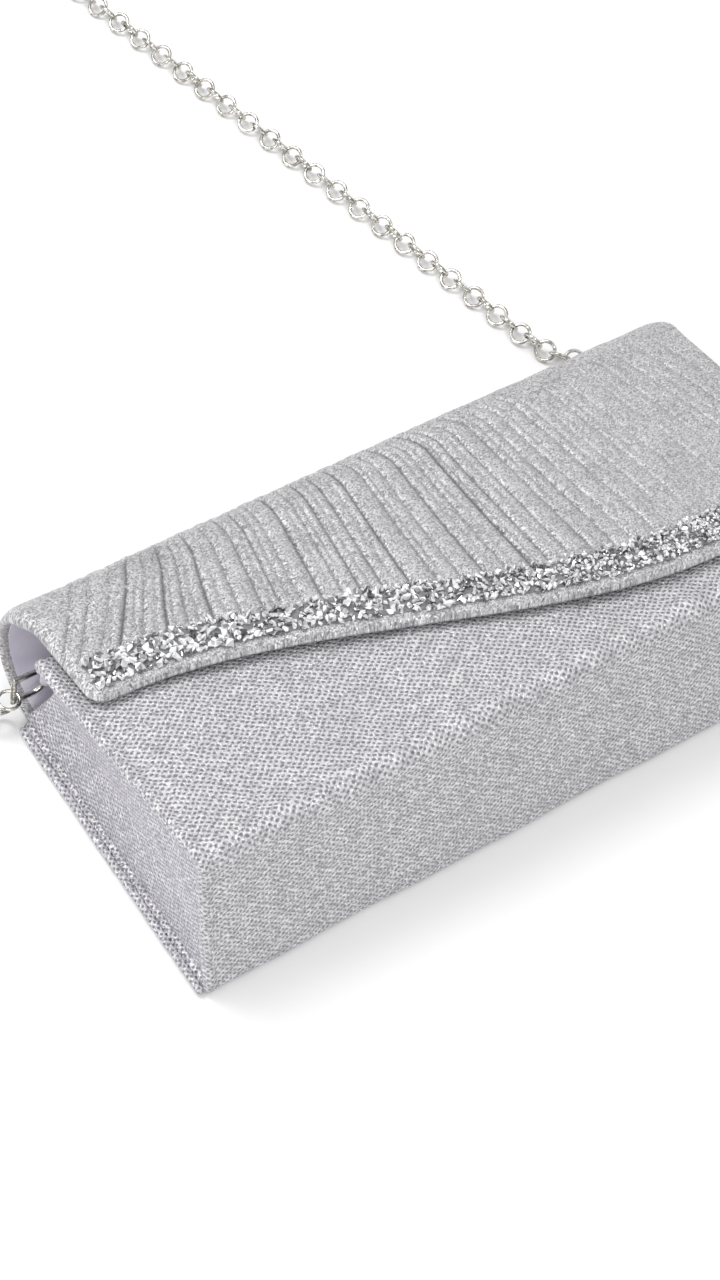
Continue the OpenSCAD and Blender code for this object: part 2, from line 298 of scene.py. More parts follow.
def tube(name, path, radii, sides):
    """A round tube with closed ends along 3-D points, its radius given for each point."""
    path = np.asarray(path, float)
    along = unit(np.gradient(path, axis=0))
    side = unit(np.cross(along, [0.0, 0.0, 1.0]))
    up = np.cross(side, along)
    turn = 2 * math.pi * np.arange(sides + 1) / sides
    ring = side[:, None] * np.cos(turn)[None, :, None] + up[:, None] * np.sin(turn)[None, :, None]
    grid = path[:, None] + ring * np.asarray(radii, float)[:, None, None]
    uv = np.stack(np.broadcast_arrays(turn * np.max(radii), run_length(path)[:, None]), axis=2)
    made = build(name, grid, grid_faces(len(path), sides + 1), uv)

    def close(bm):
        bmesh.ops.remove_doubles(bm, verts=bm.verts, dist=1e-7)
        bmesh.ops.holes_fill(bm, edges=bm.edges, sides=sides + 2)

    rework(made, close)
    return made


def stitches(name, paths, body, length=2.2, gap=3.2, radius=0.16):
    """Short threads laid end to end along 3-D paths. Each has four rings of points, narrow at its ends."""
    points, faces = [], []
    sides = 6
    turn = 2 * math.pi * np.arange(sides) / sides
    for path in paths:
        stops = spaced(np.asarray(path, float), length + gap, gap)
        for here, there in zip(stops, stops[1:]):
            along = unit(there - here)
            side = unit(np.cross(along, [0.03, 0.02, 1.0]))
            up = np.cross(side, along)
            start = len(points)
            for reach, width in ((0.0, 0.35), (0.2, 1.0), (0.8, 1.0), (1.0, 0.35)):
                centre = here + along * length * reach
                points += [centre + radius * width * (side * math.cos(q) + up * math.sin(q)) for q in turn]
            for row in range(start, start + 3 * sides, sides):
                for k in range(sides):
                    a, b = row + k, row + (k + 1) % sides
                    faces.append((a, b, b + sides, a + sides))
            faces.append(tuple(range(start + sides - 1, start - 1, -1)))
            faces.append(tuple(range(start + 3 * sides, start + 4 * sides)))
    threads = build(name, points, faces)
    finish(threads, THREAD)
    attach(threads, body)


def punch(piece, centre, axis, radius):
    """Cuts a round hole through a sheet and closes the hole's rim. The cut stays near the centre."""
    centre, axis = Vector(centre) / MM, Vector(axis)
    depth = 4.0 / MM

    def in_hole(face):
        reach = face.calc_center_median() - centre
        along = reach.dot(axis)
        return abs(along) < depth and (reach - axis * along).length < radius / MM

    def cut(bm):
        bmesh.ops.delete(bm, geom=[face for face in bm.faces if in_hole(face)], context="FACES")
        bmesh.ops.bridge_loops(bm, edges=[edge for edge in bm.edges if edge.is_boundary])

    rework(piece, cut)


def bend(piece, share=None):
    """Bakes the piece's placement into its mesh; the piece doesn't turn from one body to the other.

    The shares, given or else read from the mesh's own values named share, are not used.
    """
    weights = np.empty(len(piece.data.vertices), np.float32)
    if share is None:
        piece.data.attributes["share"].data.foreach_get("value", weights)
    else:
        weights[:] = np.resize(share, len(weights))
    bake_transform(piece)


def finish(piece, material, stands_for=()):
    """Gives a piece its material, and the CAD nodes that it is shown instead of."""
    piece.data.materials.append(material)
    if stands_for:
        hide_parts(*stands_for)


# ---- materials
class Nodes:
    """Wires the nodes of one material."""

    def __init__(self, name):
        self.material = bpy.data.materials.new(name)
        self.material.use_nodes = True
        self.tree = self.material.node_tree
        self.tree.nodes.clear()

    def add(self, kind, inputs=None, **settings):
        node = self.tree.nodes.new("ShaderNode" + kind)
        for key, value in settings.items():
            setattr(node, key, value)
        for key, value in (inputs or {}).items():
            self.put(node.inputs[key], value)
        return node

    def put(self, socket, value):
        if isinstance(value, bpy.types.NodeSocket):
            self.tree.links.new(value, socket)
        else:
            socket.default_value = value

    def math(self, operation, a, b=0.0):
        return self.add("Math", {0: a, 1: b}, operation=operation).outputs[0]

    def times(self, a, b):
        return self.math("MULTIPLY", a, b)

    def vector(self, operation, a, b=(0.0, 0.0, 0.0)):
        return self.add("VectorMath", {0: a, 1: b}, operation=operation).outputs[0]

    def stretch(self, place, factors):
        return self.vector("MULTIPLY", place, factors)

    def spread(self, value, low, high, to_low=0.0, to_high=1.0):
        """Maps low to high on to another range, with an easy curve and no overshoot."""
        inputs = {"Value": value, "From Min": low, "From Max": high, "To Min": to_low, "To Max": to_high}
        return self.add("MapRange", inputs, interpolation_type="SMOOTHSTEP").outputs[0]

    def mix(self, factor, a, b):
        node = self.add("Mix", data_type="RGBA")
        self.put(node.inputs[0], factor)
        self.put(node.inputs[6], a)
        self.put(node.inputs[7], b)
        return node.outputs[2]

    def noise(self, place, scale, detail=2.0):
        return self.add("TexNoise", {"Vector": place, "Scale": scale, "Detail": detail}).outputs[0]

    def cells(self, place, scale, randomness=1.0):
        inputs = {"Vector": place, "Scale": scale, "Randomness": randomness}
        return self.add("TexVoronoi", inputs, voronoi_dimensions="2D")

    def bump(self, height, distance, strength=1.0):
        return self.add("Bump", {"Height": height, "Distance": distance, "Strength": strength}).outputs[0]

    def close(self, **inputs):
        """Ends the material in one surface. An underscore in a name stands for a space."""
        shader = self.add("BsdfPrincipled", {key.replace("_", " "): value for key, value in inputs.items()})
        out = self.add("OutputMaterial")
        self.tree.links.new(shader.outputs[0], out.inputs["Surface"])
        return self.material


def colour(r, g, b):
    return (r, g, b, 1.0)


def cloth_place(n):
    """Millimetres along and across the fabric."""
    return n.add("UVMap", uv_map="cloth").outputs[0]


def flakes(n, place, per_mm, tilt, normal):
    """Random tone of each glitter flake, and a normal that tips from flake to flake."""
    cell = n.cells(place, per_mm)
    tip = n.vector("SUBTRACT", cell.outputs["Color"], (0.5, 0.5, 0.5))
    tipped = n.vector("ADD", normal, n.stretch(tip, (tilt, tilt, tilt)))
    parts = n.add("SeparateColor", {0: cell.outputs["Color"]})
    return parts.outputs[0], parts.outputs[1], n.vector("NORMALIZE", tipped)


def glitter(n, light, spark, normal, tones, from_spark, to_spark):
    """Ends a glitter fabric: yarn over dark gaps, with white glints painted on the flakes whose random
    spark, times the fabric's lightness, is high enough.
    """
    gap, yarn, glint_colour = tones
    # Painted glints: these flakes take the glint colour as their own colour.
    painted_glint = n.spread(n.times(spark, light), from_spark, to_spark)
    base = n.mix(painted_glint, n.mix(light, gap, yarn), glint_colour)
    rough = n.spread(spark, 0.0, 1.0, 0.3, 0.55)
    return n.close(Base_Color=base, Metallic=0.4, Roughness=rough, Normal=normal, Sheen_Weight=0.15)


def knitted_glitter(name, yarn, hole, glint_colour):
    """Knitted glitter fabric: rows of small dark holes between metallic yarns."""
    n = Nodes(name)
    place = cloth_place(n)
    wobble = n.add("TexNoise", {"Vector": place, "Scale": 0.22, "Detail": 1.0}).outputs["Color"]
    moved = n.vector("ADD", place, n.stretch(wobble, (1.2, 1.2, 0.0)))
    diagonal = (0, 0, math.radians(45))
    lattice = n.add("Mapping", {"Vector": moved, "Scale": (0.56, 0.71, 1.0), "Rotation": diagonal})
    knit = n.spread(n.cells(lattice.outputs[0], 1.0, 0.22).outputs["Distance"], 0.08, 0.44)
    grain = n.noise(place, 2.6, 1.0)
    raised = n.bump(n.math("ADD", knit, n.times(grain, 0.5)), 0.00035)
    tone, spark, normal = flakes(n, place, 1.9, 0.75, raised)
    rows = n.noise(n.stretch(place, (0.16, 0.30, 1.0)), 1.0, 2.0)
    light = n.times(n.spread(tone, 0.0, 1.0, 0.35, 1.0), n.spread(knit, 0.0, 1.0, 0.22, 1.0))
    light = n.times(light, n.spread(rows, 0.25, 0.75, 0.84, 1.12))
    return glitter(n, light, spark, normal, (hole, yarn, glint_colour), 0.72, 0.86)


def fine_glitter(name, yarn, gap, glint_colour):
    """Fine lurex fabric, with shade painted on down in the pleats."""
    n = Nodes(name)
    place = cloth_place(n)
    raised = n.bump(n.noise(place, 2.2, 2.0), 0.0003)
    tone, spark, normal = flakes(n, place, 2.3, 0.7, raised)
    cloud = n.noise(place, 0.07, 2.0)
    rib = n.noise(n.stretch(place, (0.9, 2.2, 1.0)), 1.0, 1.0)
    light = n.times(n.spread(tone, 0.0, 1.0, 0.24, 1.0), n.spread(cloud, 0.3, 0.7, 0.9, 1.05))
    light = n.times(light, n.spread(rib, 0.3, 0.7, 0.72, 1.1))
    # Painted shade: the fold values darken the fabric deep in the pleats to less than a tenth of its
    # lightness.
    fold = n.add("Attribute", attribute_name="fold").outputs["Fac"]
    light = n.times(light, n.spread(fold, 0.25, 1.0, 1.0, 0.08))
    return glitter(n, light, spark, normal, (gap, yarn, glint_colour), 0.78, 0.9)


def satin(name, thread, shade):
    """Smooth satin: a fine twill, soft bands of painted shade, and a sheen."""
    n = Nodes(name)
    place = cloth_place(n)
    twill = n.add("TexWave", {"Vector": place, "Scale": 1.1, "Distortion": 0.6, "Detail": 1.0},
                  bands_direction="DIAGONAL").outputs["Fac"]
    # Painted shade: the satin is darker where its soft bumps are low.
    soft = n.noise(place, 0.05, 3.0)
    base = n.mix(n.spread(soft, 0.3, 0.7, 0.0, 1.0), shade, thread)
    base = n.mix(n.times(twill, 0.12), base, shade)
    normal = n.bump(n.math("ADD", n.times(twill, 0.25), soft), 0.0002)
    return n.close(Base_Color=base, Roughness=0.34, Normal=normal, Sheen_Weight=0.35, Anisotropic=0.5)


def plated_metal(name, bright, patch_colour):
    """Polished plated steel with faint scratches and darker, rougher spots."""
    n = Nodes(name)
    place = n.add("TexCoord").outputs["Object"]
    patches = n.noise(place, 620.0, 3.0)
    scratch = n.noise(n.stretch(place, (900.0, 4200.0, 900.0)), 1.0, 2.0)
    base = n.mix(n.spread(patches, 0.42, 0.62), bright, patch_colour)
    rough = n.spread(patches, 0.3, 0.8, 0.12, 0.3)
    return n.close(Base_Color=base, Metallic=1.0, Roughness=rough, Normal=n.bump(scratch, 0.00002, 0.4))


def crushed_stones(name):
    """Chips of clear, white and mirrored stone, each with its own tone, and with light and shade painted on
    facet by facet.
    """
    n = Nodes(name)
    chip = n.add("Attribute", attribute_name="chip").outputs["Fac"]
    place = n.add("TexCoord").outputs["Object"]
    cloud = n.noise(place, 900.0, 3.0)
    # Painted light and shade: each flat facet takes a tone from the way it faces, mixed with its chip's own
    # tone.
    normal = n.add("NewGeometry").outputs["True Normal"]
    apart = n.add("CombineXYZ", {0: n.times(chip, 40.0)}).outputs[0]
    facing = n.vector("ADD", n.stretch(normal, (3.1, 3.1, 3.1)), apart)
    facet = n.spread(n.noise(facing, 1.3, 0.0), 0.34, 0.66)
    tone = n.math("ADD", n.times(chip, 0.45), n.times(facet, 0.55))
    grey = n.mix(n.spread(tone, 0.12, 0.42), colour(0.07, 0.07, 0.08), colour(0.50, 0.50, 0.52))
    base = n.mix(n.spread(tone, 0.42, 0.72), grey, colour(0.90, 0.90, 0.91))
    base = n.mix(n.spread(cloud, 0.35, 0.75, 0.0, 0.22), base, colour(0.9, 0.9, 0.9))
    mirror = n.times(n.math("LESS_THAN", chip, 0.3), 0.7)
    return n.close(Base_Color=base, Metallic=mirror, Roughness=n.spread(cloud, 0.3, 0.7, 0.04, 0.2),
                   Normal=n.bump(cloud, 0.00006), Coat_Weight=0.6, Coat_Roughness=0.03, IOR=1.55)


def fibre_board(name):
    n = Nodes(name)
    place = n.add("TexCoord").outputs["Object"]
    fibre = n.noise(n.stretch(place, (300.0, 1500.0, 900.0)), 1.0, 4.0)
    base = n.mix(fibre, colour(0.42, 0.38, 0.33), colour(0.62, 0.58, 0.52))
    return n.close(Base_Color=base, Roughness=0.85, Normal=n.bump(fibre, 0.0001))


def mottled(name, light, shade, scale, detail=4.0, rough=0.9, relief=0.0003, sheen=0.4):
    """A matt material with a fine uneven grain: fibres by default, or ferrite."""
    n = Nodes(name)
    grain = n.noise(n.add("TexCoord").outputs["Object"], scale, detail)
    base = n.mix(grain, shade, light)
    return n.close(Base_Color=base, Roughness=rough, Normal=n.bump(grain, relief), Sheen_Weight=sheen)


def table_top(name):
    n = Nodes(name)
    mottle = n.noise(n.add("TexCoord").outputs["Object"], 6.0, 2.0)
    base = n.mix(mottle, colour(0.90, 0.90, 0.90), colour(0.915, 0.915, 0.915))
    return n.close(Base_Color=base, Roughness=0.7)


# White, the colour of the glints painted on the glitter fabrics
WHITE = colour(1, 1, 1)
KNIT = knitted_glitter("knitted_glitter", colour(0.87, 0.86, 0.89), colour(0.17, 0.165, 0.19), WHITE)
# A darker, bluer copy of the knitted glitter, which paints shade on the gussets and inside the mouth
KNIT_PAINTED_SHADE = knitted_glitter("knitted_glitter_side", colour(0.84, 0.82, 0.88), colour(0.17, 0.165, 0.20),
                             WHITE)
LUREX = fine_glitter("fine_glitter", colour(0.82, 0.815, 0.83), colour(0.12, 0.115, 0.13), WHITE)
SATIN = satin("lavender_satin", colour(0.86, 0.83, 0.93), colour(0.77, 0.74, 0.86))
METAL = plated_metal("plated_steel", colour(0.78, 0.76, 0.71), colour(0.36, 0.35, 0.32))
STONES = crushed_stones("crushed_stones")
BOARD = fibre_board("fibre_board")
WADDING = mottled("wadding", colour(0.93, 0.93, 0.92), colour(0.80, 0.80, 0.79), 500.0)
TIE = mottled("soft_tie", colour(0.92, 0.92, 0.91), colour(0.74, 0.74, 0.72), 1500.0)
THREAD = mottled("thread", colour(0.74, 0.72, 0.78), colour(0.58, 0.56, 0.62), 2500.0)
# Dark, so that the backing also paints shade in the gaps between the stones
TAPE = mottled("trim_backing", colour(0.30, 0.30, 0.31), colour(0.12, 0.12, 0.13), 900.0)
FERRITE = mottled("ferrite", colour(0.07, 0.07, 0.075), colour(0.02, 0.02, 0.022), 1800.0,
                  detail=2.0, rough=0.6, relief=0.00005, sheen=0.0)


# ---- camera
def camera():
    """The camera looks down at the bag from its lower left, rolled a little."""
    turn, height, roll = math.radians(-46.0), math.radians(55.01), math.radians(14.5)
    distance, target = 0.880, Vector((-0.0174, 0.0184, 0.0))
    back = Vector((math.sin(turn) * math.cos(height), -math.cos(turn) * math.cos(height), math.sin(height)))
    right = Vector((math.cos(turn), math.sin(turn), 0.0))
    up = back.cross(right)
    across = math.cos(roll) * right + math.sin(roll) * up
    upward = math.cos(roll) * up - math.sin(roll) * right
    data = bpy.data.cameras.new("camera")
    data.lens = 80.1
    data.sensor_width = 36.0
    view = bpy.data.objects.new("camera", data)
    bpy.context.scene.collection.objects.link(view)
    view.matrix_world = Matrix((across, upward, back)).transposed().to_4x4()
    view.location = target + back * distance
    bpy.context.scene.camera = view


# ---- chain
def coil_path():
    """Two turns on the table, side by side, and a part of a turn on top of them."""
    degrees = np.arange(35, 871, 10)
    inward = smooth((degrees - 320) / 65)
    outwards = smooth((degrees - 790) / 80)
    climb = smooth((degrees - 655) / 65)
    radius = COIL_OUTER - (COIL_OUTER - COIL_INNER) * (inward - outwards)
    height = COIL_GROUND + (COIL_TOP - COIL_GROUND) * climb
    return [(COIL_CENTRE[0] + r * math.cos(a), COIL_CENTRE[1] + r * math.sin(a), z)
            for a, r, z in zip(np.radians(degrees), radius, height)]


def links(name, centres):
    """Round links on the given centres, which lean over by turns to one side and the other."""
    rng = np.random.default_rng(11)
    around = 2 * math.pi * np.arange(LINK_SIDES) / LINK_SIDES
    tubewise = 2 * math.pi * np.arange(WIRE_SIDES) / WIRE_SIDES
    points, faces = [], []
    i, j = np.meshgrid(np.arange(LINK_SIDES), np.arange(WIRE_SIDES), indexing="ij")
    here, after = i * WIRE_SIDES, (i + 1) % LINK_SIDES * WIRE_SIDES
    beside = (j + 1) % WIRE_SIDES
    quads = np.stack([here + j, after + j, after + beside, here + beside], axis=2).reshape(-1, 4)
    for k, (centre, heading) in enumerate(zip(centres, unit(np.gradient(centres, axis=0)))):
        side = unit(np.cross([0.0, 0.0, 1.0], heading))
        over = k % 2 == 1
        lean = math.radians((LEAN_OVER if over else LEAN_UP) + rng.uniform(-LEAN_PLAY, LEAN_PLAY))
        across = side * math.cos(lean) + np.cross(heading, side) * math.sin(lean)
        pole = np.cross(heading, across)
        drop = (OVER_DROP if over else UP_DROP) * (1 - smooth((centre[2] - COIL_GROUND) / 6))
        middle = centre - np.array([0.0, 0.0, drop])
        spoke = heading[None] * np.cos(around)[:, None] + across[None] * np.sin(around)[:, None]
        radius = LINK_R + LINK_WIRE * np.cos(tubewise)
        ring = middle + spoke[:, None] * radius[None, :, None]
        ring = ring + pole[None, None] * (LINK_WIRE * np.sin(tubewise))[None, :, None]
        faces.append(quads + len(points) * LINK_SIDES * WIRE_SIDES)
        points.append(ring.reshape(-1, 3))
    return build(name, np.vstack(points), np.vstack(faces))


def lead(side, centres):
    """The first links after a ring, each given a smaller share of its swing than the one before."""
    word = "right" if side > 0 else "left"
    piece = links(f"chain_lead_{word}", centres)
    share = 1 - (np.arange(len(centres)) + 1) / (len(centres) + 1)
    bend(piece, np.repeat(share, len(piece.data.vertices) // len(centres)))
    finish(piece, METAL)
    return piece


def chain():
    """The whole strap: from the right ring over the table, through the coil, and back to the left ring."""
    hook = middle_of("end_link_right")
    ends = [(side * hook.x, hook.y, hook.z) for side in (1, -1)]
    whole = spline([ends[0]] + ROUTE_RIGHT + coil_path() + ROUTE_LEFT + [ends[1]], 2.0)
    total = run_length(whole)[-1]
    count = 2 * round((total / LINK_PITCH - 1) / 2) + 1
    pitch = total / (count + 1)
    centres = spaced(whole, pitch, pitch)[:count]
    right = lead(1, centres[:LEAD_LINKS])
    left = lead(-1, centres[-LEAD_LINKS:][::-1])
    middle = centres[LEAD_LINKS:-LEAD_LINKS]
    piece = links("chain", middle)
    finish(piece, METAL, ["chain_run_right", "chain_run_left", "chain_coil"])
    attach(piece, "bag")
    tie = coil_tie()


def coil_tie():
    """A soft tie wound twice round the coil's strands."""
    low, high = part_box("coil_tie")
    middle, half = middle_of("coil_tie"), (high - low) * MM / 2
    radius, lowest, drift, turns = 0.7, 0.9, 3.2, 2.15
    angles = np.linspace(0, turns * 2 * math.pi, 90)

    def squared(wave):
        """A wave with flatter tops, which makes a round turn nearly square."""
        return math.copysign(abs(wave) ** 0.6, wave)

    path = [(middle.x + drift * (t / angles[-1] - 0.5),
             middle.y + (half.y + 0.2) * squared(math.cos(t)),
             max(lowest, middle.z + (half.z - 0.3) * squared(math.sin(t))))
            for t in angles]
    piece = tube("coil_tie_cord", path, np.full(len(path), radius), 8)
    finish(piece, TIE, ["coil_tie"])
    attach(piece, "bag")
    return piece


# ---- body of the bag
UP_BOTTOM = unit(CREASE - BASE)
BOTTOM_OUT = np.array([-UP_BOTTOM[1], UP_BOTTOM[0]])
BACK_OUT = np.array([0.0, -1.0])
BACK_ALONG = np.array([-1.0, 0.0])
BOARD_T = 1.5
BOARD_DEPTH = 0.85  # of a board below its panel's face
SKIN_T = 0.4
MOUTH_TURN = 2.2  # how far the fabric goes down over the mouth's edge
MOUTH_R = 1.4
CREASE_R = 5.0
BASE_R = 2.6
CREASE_BEND = 7.0  # length of fabric that turns over at the crease
CREASE_SWELL = 0.9  # how far the fabric stands out along the crease
SATIN_DEPTH = 2.75  # of the lining below a panel's face
LINING_HALF = 122.6
GUSSET_HALF = 122.6  # from the bag's middle to a gusset that isn't folded in
GUSSET_DEPTH = 2.7  # of a gusset's edge below a panel's face
GUSSET_LEN = 76.0  # along the front panel
GUSSET_DIP = 3.2  # how far a gusset is folded in
SNAP = middle_of("socket_washer")
SNAP_HOLE_R = 7.6

# How far inside a panel's end, and how deep below its face, the fabric runs as it wraps the end
EDGE_WRAP = [(3.6, 0.0), (2.6, -0.25), (1.7, -0.5), (0.8, -0.4), (0.0, 0.1), (-0.35, 1.0),
             (-0.35, 2.0), (-0.1, 2.8), (0.8, 3.35), (2.6, 3.5), (5.0, 3.45)]


def in_corner(corner, out_before, out_after, depth):
    """Where two faces meet after both move inwards."""
    return corner - depth * (out_before + out_after) / (1 + out_before @ out_after)


def to_space(x, path_point, normal, height):
    """Points at x, raised off a path in Y and Z: rows follow the path and columns follow x."""
    y = path_point[:, None, 0] + normal[:, None, 0] * height
    z = path_point[:, None, 1] + normal[:, None, 1] * height
    return np.stack([np.broadcast_to(x, y.shape), y, z], axis=2)


def past_crease(path, length):
    """How far past the crease each point of a path is."""
    return length - length[np.argmin(np.linalg.norm(path - CREASE, axis=1))]


def front_share(path, length):
    """1 on the front panel, 0 on the bottom and back, turning over round the crease."""
    return np.clip(0.5 - past_crease(path, length) / CREASE_BEND, 0, 1)


def body_skin():
    """One piece of knitted glitter fabric round the front, the bottom and the back."""
    corners = [MOUTH - MOUTH_TURN * FRONT_OUT, MOUTH, CREASE, BASE, SEAM]
    path = rounded_path(corners, [MOUTH_R, CREASE_R, BASE_R], 1.4)
    normal, length = outward(path)
    inset, depth = np.array(EDGE_WRAP).T
    flat_half = BODY_HALF - 4.6
    flat = np.linspace(-flat_half, flat_half, 178)
    x = np.concatenate([-(BODY_HALF - inset[::-1]), flat, BODY_HALF - inset])
    depth = np.concatenate([depth[::-1], np.zeros(len(flat)), depth])
    lying = smooth(1 + normal[:, 1])[:, None]
    height = -np.where(depth < 0, depth * lying, depth)
    gx, gl = np.meshgrid(x, length)
    inner = smooth((BODY_HALF - 3 - np.abs(gx)) / 7) * lying * smooth(gl / 5)
    soft = 0.2 + ripple(gx, gl, 3, (95, 62, 41), 0.6)
    near = np.exp(-(past_crease(path, length)[:, None] / 5.5) ** 2)
    soft = soft + near * (CREASE_SWELL - 0.2 + ripple(gx, gl * 0.3, 8, (37, 19, 11), 0.75))
    height = height + inner * np.maximum(soft, -0.1)
    grid = to_space(gx, path, normal, height)
    across = run_length(np.stack([x, depth], axis=1))
    share = np.broadcast_to(front_share(path, length)[:, None], gx.shape)
    piece = cloth("body_skin", grid, SKIN_T, np.meshgrid(across, length), {"share": share})
    punch(piece, SNAP, (0.0, *FRONT_OUT), SNAP_HOLE_R)
    bend(piece)
    finish(piece, KNIT, ["front_cover", "bottom_cover", "back_cover"])


def boards():
    """The boards inside the three panels, which stop short of the soft corners."""
    runs = {
        "front": (MOUTH - 0.4 * FRONT_DIR, CREASE + 5.5 * FRONT_DIR, FRONT_OUT, "front_panel"),
        "bottom": (CREASE - 5.5 * UP_BOTTOM, BASE + 4.0 * UP_BOTTOM, BOTTOM_OUT, "bag"),
        "back": (BASE - 5.0 * BACK_ALONG, SEAM - 0.4 * BACK_ALONG, BACK_OUT, "bag"),
    }
    for word, (start, end, out, body) in runs.items():
        count = round(np.linalg.norm(end - start) / 2)
        path = np.linspace(start, end, count) - BOARD_DEPTH * out
        half = BODY_HALF - 0.6
        gx, gl = np.meshgrid(np.linspace(-half, half, 120), run_length(path))
        grid = to_space(gx, path, np.broadcast_to(out, path.shape), 0 * gx)
        piece = cloth(f"{word}_stiffener", grid, BOARD_T, (gx, gl))
        if word == "front":
            punch(piece, SNAP, (0.0, *FRONT_OUT), SNAP_HOLE_R + 0.4)
        finish(piece, BOARD, [f"{word}_board"])
        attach(piece, body)


def body_lining():
    """Satin inside the front, the bottom and the back."""
    depth = SATIN_DEPTH
    corners = [MOUTH - depth * FRONT_OUT - 0.8 * FRONT_DIR, in_corner(CREASE, FRONT_OUT, BOTTOM_OUT, depth),
               in_corner(BASE, BOTTOM_OUT, BACK_OUT, depth), SEAM - depth * BACK_OUT]
    path = rounded_path(corners, [6.0, 9.0], 2.2)
    normal, length = outward(path)
    gx, gl = np.meshgrid(np.linspace(-LINING_HALF, LINING_HALF, 120), length)
    edge = smooth((LINING_HALF - np.abs(gx)) / 12) * smooth(gl / 10) * smooth((length[-1] - gl) / 10)
    height = -edge * (0.15 + np.abs(ripple(gx, gl, 17, (70, 44, 27), 0.7)))
    grid = to_space(gx, path, normal, height)
    piece = cloth("body_lining", grid, -0.3, (gx, gl))
    bend(piece, np.broadcast_to(front_share(path, length)[:, None], gx.shape))
    finish(piece, SATIN, ["front_lining", "bottom_lining", "back_lining"])


def mouth_facing():
    """The strip that the outer fabric is finished with inside the mouth."""
    inside = MOUTH - 3.3 * FRONT_OUT
    corners = [MOUTH - 1.5 * FRONT_OUT, inside, inside - 9.0 * FRONT_DIR]
    path = rounded_path(corners, [1.0], 0.8) - 0.1 * FRONT_DIR
    normal, length = outward(path)
    half = BODY_HALF - 1.2
    gx, gl = np.meshgrid(np.linspace(-half, half, 120), length)
    grid = to_space(gx, path, normal, ripple(gx, gl, 5, (31, 19), 0.12))
    piece = cloth("mouth_facing", grid, 0.35, (gx, gl))
    # The facing takes the darker copy of the knitted glitter, with its painted shade.
    finish(piece, KNIT_PAINTED_SHADE)
    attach(piece, "front_panel")
    row = inside - 0.3 * FRONT_OUT - 7.6 * FRONT_DIR
    stitches("facing_stitches", [[(-119, *row), (119, *row)]], "front_panel")


def gusset(side):
    """A side wedge of glitter fabric with its satin lining, folded in a little towards the mouth."""
    word = "right" if side > 0 else "left"
    foot = np.array([HINGE[0] + 2.0, GUSSET_DEPTH + 0.5])
    base = in_corner(BASE, BOTTOM_OUT, BACK_OUT, GUSSET_DEPTH)
    crease = in_corner(CREASE, FRONT_OUT, BOTTOM_OUT, GUSSET_DEPTH)
    top = crease + GUSSET_LEN * FRONT_DIR
    t, s = np.meshgrid(np.linspace(0, 1, 56), np.linspace(0, 1, 34), indexing="ij")
    on_back = base + (foot - base) * t[..., None]
    on_front = crease + (top - crease) * t[..., None]
    plane = on_back + (on_front - on_back) * s[..., None]
    dip = GUSSET_DIP * np.sin(math.pi * s) ** 1.3 * smooth(t) ** 1.2
    dip = dip + np.sin(math.pi * s) * ripple(t * 105, s * 50, 29, (34, 21), 0.35) * smooth(t * 4)
    share = smooth(s) * smooth(t / 0.1)
    # The fabric takes the darker copy of the knitted glitter, with its painted shade.
    for name, x, thick, material, slot, node in (
            (f"gusset_{word}_fabric", GUSSET_HALF, 0.5, KNIT_PAINTED_SHADE, "glitter_mesh", f"gusset_{word}"),
            (f"gusset_{word}_satin", GUSSET_HALF - 0.7, 0.35, SATIN, "satin", f"gusset_lining_{word}")):
        grid = np.concatenate([(side * (x - dip))[..., None], plane], axis=2)
        piece = cloth(name, grid, thick * side, (plane[..., 0], plane[..., 1]))
        bend(piece, share)
        finish(piece, material, [node])


def binding(side):
    """The thin bound edge along an end of the back panel."""
    word = "right" if side > 0 else "left"
    low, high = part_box(f"binding_{word}")
    middle, radius = middle_of(f"binding_{word}"), (high.z - low.z) * MM / 2
    y = np.linspace(low.y * MM, high.y * MM, 90)
    bow = ripple(y, 0 * y, 31 + side, (23, 9), 0.12)
    path = [(middle.x + b * side, v, middle.z) for v, b in zip(y, bow)]
    ends = np.minimum(smooth((y - y[0] + 0.4) / 1.6), smooth((y[-1] + 0.4 - y) / 1.6))
    radii = radius * (0.35 + 0.65 * ends) * (1 + ripple(y, 0 * y, 5 + side, (7, 3.3), 0.05))
    piece = tube(f"binding_{word}_roll", path, radii, 14)
    finish(piece, KNIT, [f"binding_{word}"])
    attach(piece, "bag")


def inner_pocket():
    """A slip pocket: a satin sheet sewn to the back lining on three sides, open towards the mouth."""
    low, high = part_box("inner_pocket")
    low, high = low * MM, high * MM
    gx, gy = np.meshgrid(np.linspace(low.x, high.x, 70), np.linspace(low.y, high.y, 44))
    across = np.sin(math.pi * (gx - low.x) / (high.x - low.x)) ** 0.5
    along = smooth((gy - low.y) / 14)
    hem = 0.35 * smooth((gy - high.y + 3.4) / 0.4)
    z = low.z + 0.35 + across * along * (0.9 + np.abs(ripple(gx, gy, 41, (52, 33), 0.6))) + hem
    piece = cloth("pocket_sheet", np.stack([gx, gy, z], axis=2), 0.35, (gx, gy))
    finish(piece, SATIN, ["inner_pocket"])
    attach(piece, "bag")
    seam = 1.6
    left, right = low.x + seam, high.x - seam
    top, foot = (high.y - 4, low.z + 0.6), (low.y + seam, low.z + 0.5)
    corners = [(left, *top), (left, *foot), (right, *foot), (right, *top)]
    stitches("pocket_stitches", zip(corners, corners[1:]), "bag", 2.0, 2.9, 0.15)


